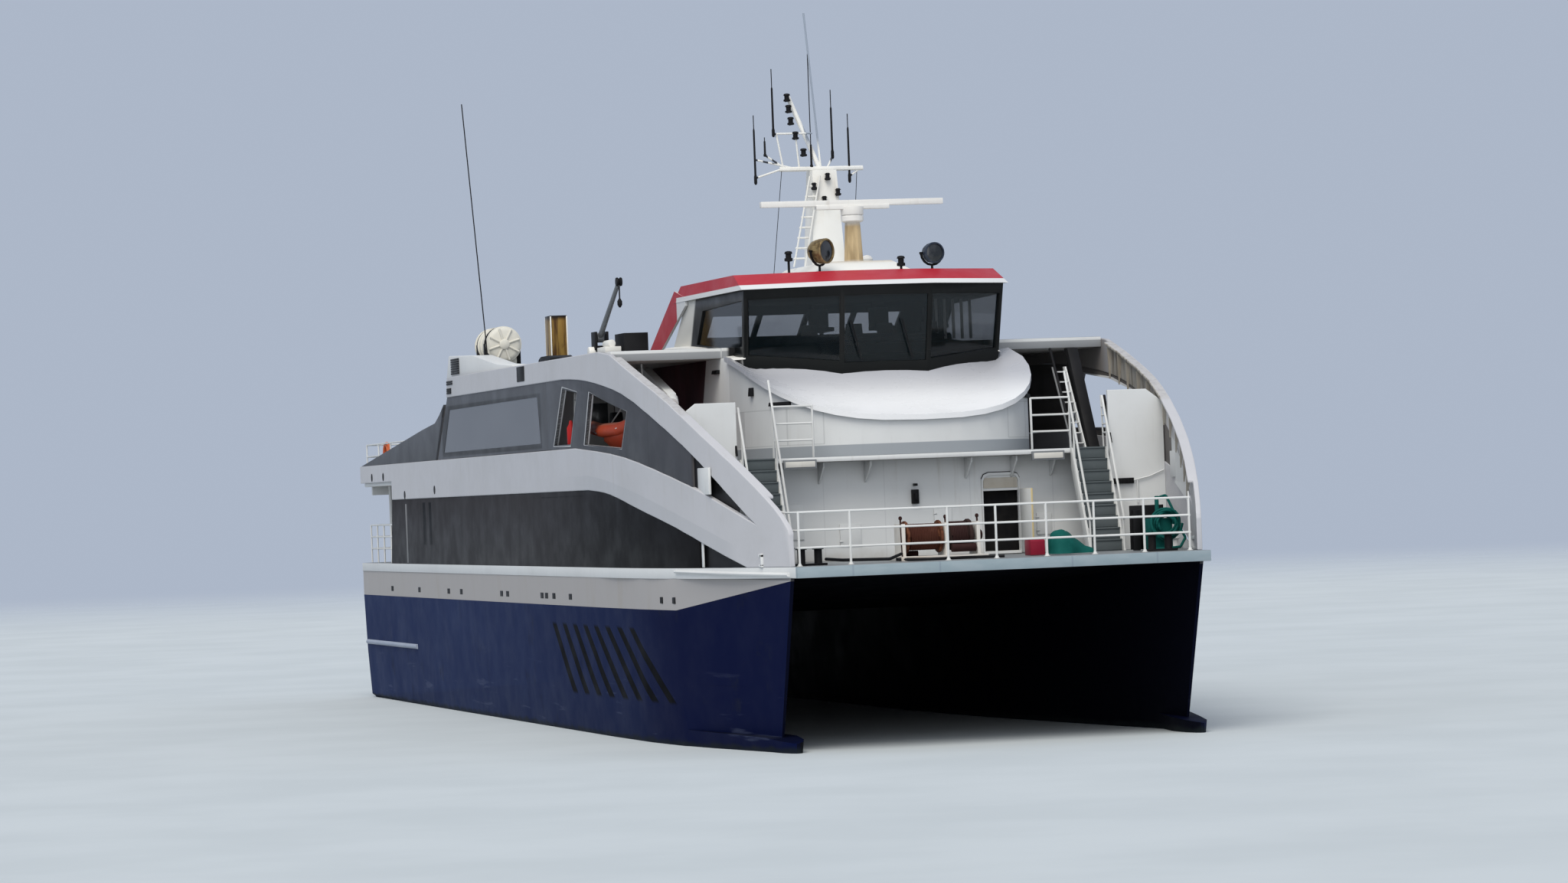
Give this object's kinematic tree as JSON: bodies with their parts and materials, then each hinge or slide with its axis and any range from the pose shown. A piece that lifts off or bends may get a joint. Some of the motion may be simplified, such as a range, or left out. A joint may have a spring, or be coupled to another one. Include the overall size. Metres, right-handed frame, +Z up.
{
  "type": "passenger ferry, 1:2 scale model",
  "caption": "Two-hulled fast passenger ferry at 1:2, afloat, with a side arch from roof to bow, wheelhouse, open foredeck, turning propellers, rudders, radar and doors.",
  "frame": {"origin": "centre of the waterplane, amidships on the centreline", "axes": "+X towards the bow, +Y to port, +Z up from the water"},
  "size_m": [22.775, 6.2, 9.726],
  "materials": {
    "hull_blue": "marine paint, mid blue, satin, weathered",
    "tunnel_dark": "dark blue paint, in shade",
    "white_paint": "white marine paint, satin",
    "dark_panel": "charcoal paint, satin",
    "grey_panel": "mid blue-grey paint, satin",
    "window_glass": "dark tinted glass",
    "red_paint": "red paint, satin",
    "cream_paint": "cream paint, satin",
    "rail_steel": "painted tube",
    "propeller_bronze": "cast and polished",
    "black_paint": "black paint, matt",
    "boat_orange": "coated fabric tube, orange",
    "brass_metal": "aged brass, heat-stained",
    "deck_grey": "non-slip deck paint",
    "green_paint": "green paint, worn"
  },
  "bodies": {
    "ship": {"hull_port": "hull_blue", "side_frame_port": "white_paint", "main_deck_wall_port": "dark_panel", "upper_wall_port": "grey_panel", "lounge_window_port": "window_glass", "aft_screen_port": "grey_panel", "gallery_wall_port": "grey_panel", "wing_wall_port": "white_paint", "passage_wall_port": "white_paint", "roof_housing_port": "white_paint", "searchlight_port": "black_paint", "exhaust_box_port": "brass_metal", "stair_port": "rail_steel", "bollards_port": "black_paint", "shaft_port": "rail_steel", "hull_starboard": "hull_blue", "side_frame_starboard": "white_paint", "main_deck_wall_starboard": "dark_panel", "upper_wall_starboard": "grey_panel", "lounge_window_starboard": "window_glass", "aft_screen_starboard": "grey_panel", "gallery_wall_starboard": "grey_panel", "wing_wall_starboard": "white_paint", "passage_wall_starboard": "white_paint", "roof_housing_starboard": "white_paint", "searchlight_starboard": "brass_metal", "exhaust_box_starboard": "brass_metal", "stair_starboard": "rail_steel", "bollards_starboard": "black_paint", "shaft_starboard": "rail_steel", "bridge_structure": "tunnel_dark", "main_deck": "white_paint", "main_deck_front_wall": "white_paint", "main_deck_aft_wall": "white_paint", "upper_deck": "white_paint", "front_saloon_wall": "white_paint", "visor": "white_paint", "lounge_aft_wall": "white_paint", "roof_deck": "white_paint", "wheelhouse": "cream_paint", "wheelhouse_window_frame": "black_paint", "wheelhouse_roof": "red_paint", "mast": "cream_paint", "raft_canister": "white_paint", "crane_column": "black_paint", "rescue_boat": "boat_orange", "bow_rail": "rail_steel", "winch_frame": "white_paint", "hose_tank": "green_paint"},
    "front_door": {"front_door": "cream_paint"},
    "lounge_door_port": {"lounge_door_port": "white_paint"},
    "lounge_door_starboard": {"lounge_door_starboard": "white_paint"},
    "radar_scanner": {"radar_scanner": "white_paint"},
    "crane_jib": {"crane_jib": "rail_steel"},
    "winch_drum": {"winch_drum": "brass_metal"},
    "stern_ramp": {"stern_ramp": "deck_grey"},
    "propeller_port": {"propeller_port": "propeller_bronze"},
    "propeller_starboard": {"propeller_starboard": "propeller_bronze"},
    "rudder_port": {"rudder_port": "hull_blue"},
    "rudder_starboard": {"rudder_starboard": "hull_blue"}
  },
  "joints": [
    {"name": "front_door_hinge", "type": "hinge", "parent": "ship", "child": "front_door", "pos_m": [8.1075, 1.235, 2.4], "axis": [0, 0, 1], "range_deg": [-90, 0]},
    {"name": "lounge_door_hinge_port", "type": "hinge", "parent": "ship", "child": "lounge_door_port", "pos_m": [2.34, 2.594, 3.7], "axis": [0, 0, 1], "range_deg": [0, 90]},
    {"name": "lounge_door_hinge_starboard", "type": "hinge", "parent": "ship", "child": "lounge_door_starboard", "pos_m": [2.34, -2.594, 3.7], "axis": [0, 0, -1], "range_deg": [0, 90]},
    {"name": "radar_turn", "type": "hinge", "parent": "ship", "child": "radar_scanner", "pos_m": [5.825, 0, 6.15], "axis": [0, 0, 1], "continuous": true},
    {"name": "crane_luff", "type": "hinge", "parent": "ship", "child": "crane_jib", "pos_m": [3.65, -2.65, 4.8], "axis": [0, 1, 0], "range_deg": [-45, 15]},
    {"name": "winch_turn", "type": "hinge", "parent": "ship", "child": "winch_drum", "pos_m": [10.3, -0.4, 2.275], "axis": [0, 1, 0], "continuous": true},
    {"name": "stern_ramp_hinge", "type": "hinge", "parent": "ship", "child": "stern_ramp", "pos_m": [-11.1, 0, 2.095], "axis": [0, -1, 0], "range_deg": [0, 95]},
    {"name": "propeller_turn_port", "type": "hinge", "parent": "ship", "child": "propeller_port", "pos_m": [-9.8, 2.2575, -0.75], "axis": [1, 0, 0], "continuous": true},
    {"name": "propeller_turn_starboard", "type": "hinge", "parent": "ship", "child": "propeller_starboard", "pos_m": [-9.8, -2.2575, -0.75], "axis": [1, 0, 0], "continuous": true},
    {"name": "rudder_turn_port", "type": "hinge", "parent": "ship", "child": "rudder_port", "pos_m": [-10.475, 2.2575, -0.7], "axis": [0, 0, 1], "range_deg": [-35, 35]},
    {"name": "rudder_turn_starboard", "type": "hinge", "parent": "ship", "child": "rudder_starboard", "pos_m": [-10.475, -2.2575, -0.7], "axis": [0, 0, 1], "range_deg": [-35, 35]}
  ]
}
